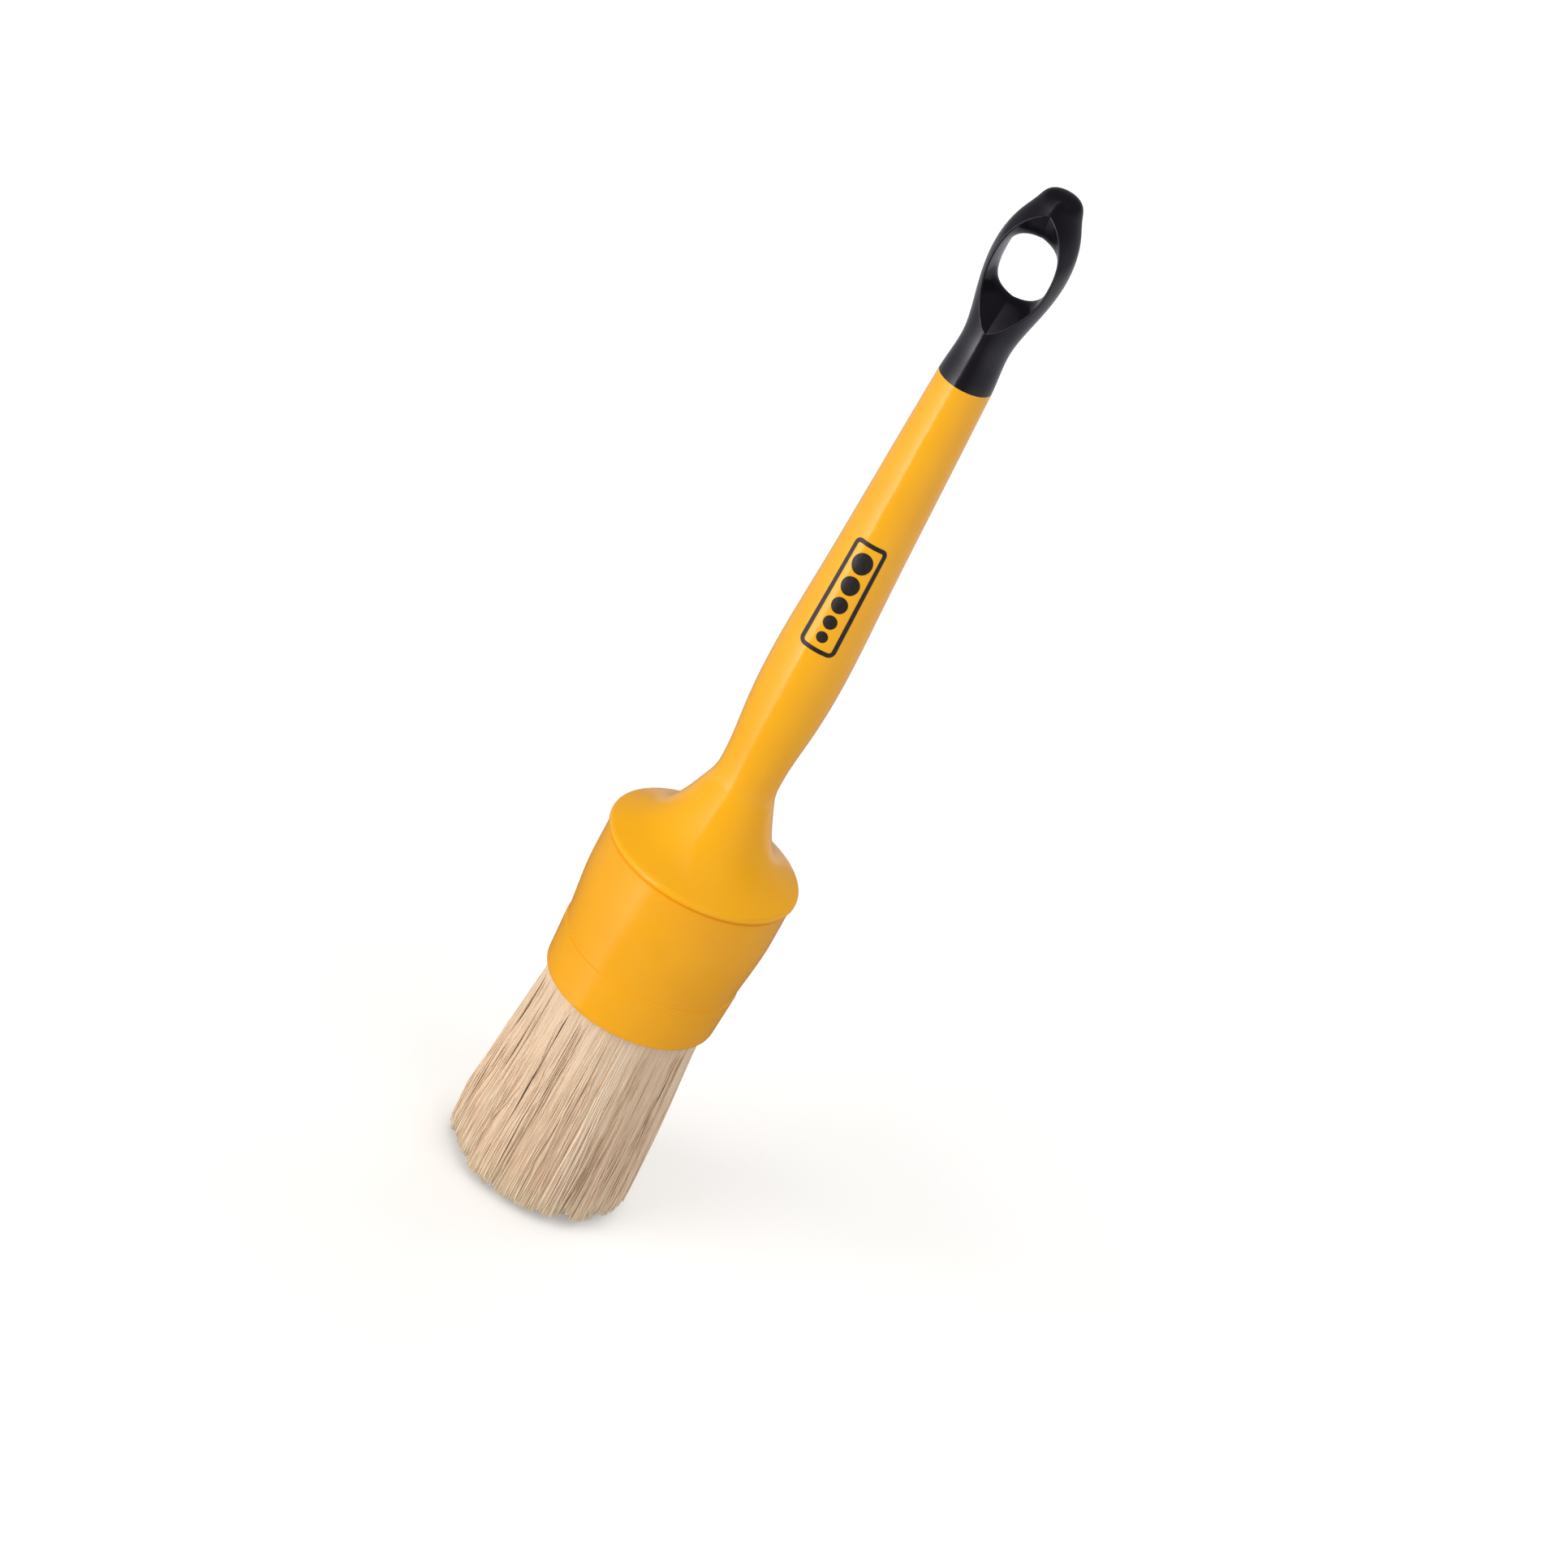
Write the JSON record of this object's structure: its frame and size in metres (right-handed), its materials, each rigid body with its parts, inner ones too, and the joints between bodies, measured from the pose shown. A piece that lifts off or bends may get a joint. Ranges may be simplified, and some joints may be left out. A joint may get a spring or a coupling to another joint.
{
  "type": "round paint brush",
  "caption": "Round brush with a thick bundle of natural bristle, a moulded ferrule, a long swelling plastic handle with a wide shoulder, and a hanging end with an eye.",
  "frame": {"origin": "middle of the bristle ends, on the plane that the brush stands on", "axes": "+Z along the brush from the bristle ends to the hanging end, Y through the eye"},
  "size_m": [0.044, 0.044, 0.2582],
  "materials": {
    "yellow_plastic": "smooth glossy golden yellow polypropylene",
    "black_plastic": "smooth satin to glossy black polypropylene",
    "bristle": "pale natural hog bristle with flagged ends",
    "resin": "cast amber resin",
    "core": "plain turned softwood"
  },
  "bodies": {
    "root": {"handle": "yellow_plastic", "ferrule": "yellow_plastic", "hanger_loop": "black_plastic", "resin_plug": "resin", "core_peg": "core", "outer_tuft_01": "bristle", "outer_tuft_02": "bristle", "outer_tuft_03": "bristle", "outer_tuft_04": "bristle", "outer_tuft_05": "bristle", "outer_tuft_06": "bristle", "outer_tuft_07": "bristle", "outer_tuft_08": "bristle", "outer_tuft_09": "bristle", "outer_tuft_10": "bristle", "outer_tuft_11": "bristle", "outer_tuft_12": "bristle", "outer_tuft_13": "bristle", "outer_tuft_14": "bristle", "inner_tuft_01": "bristle", "inner_tuft_02": "bristle", "inner_tuft_03": "bristle", "inner_tuft_04": "bristle", "inner_tuft_05": "bristle", "inner_tuft_06": "bristle", "inner_tuft_07": "bristle"}
  },
  "joints": []
}
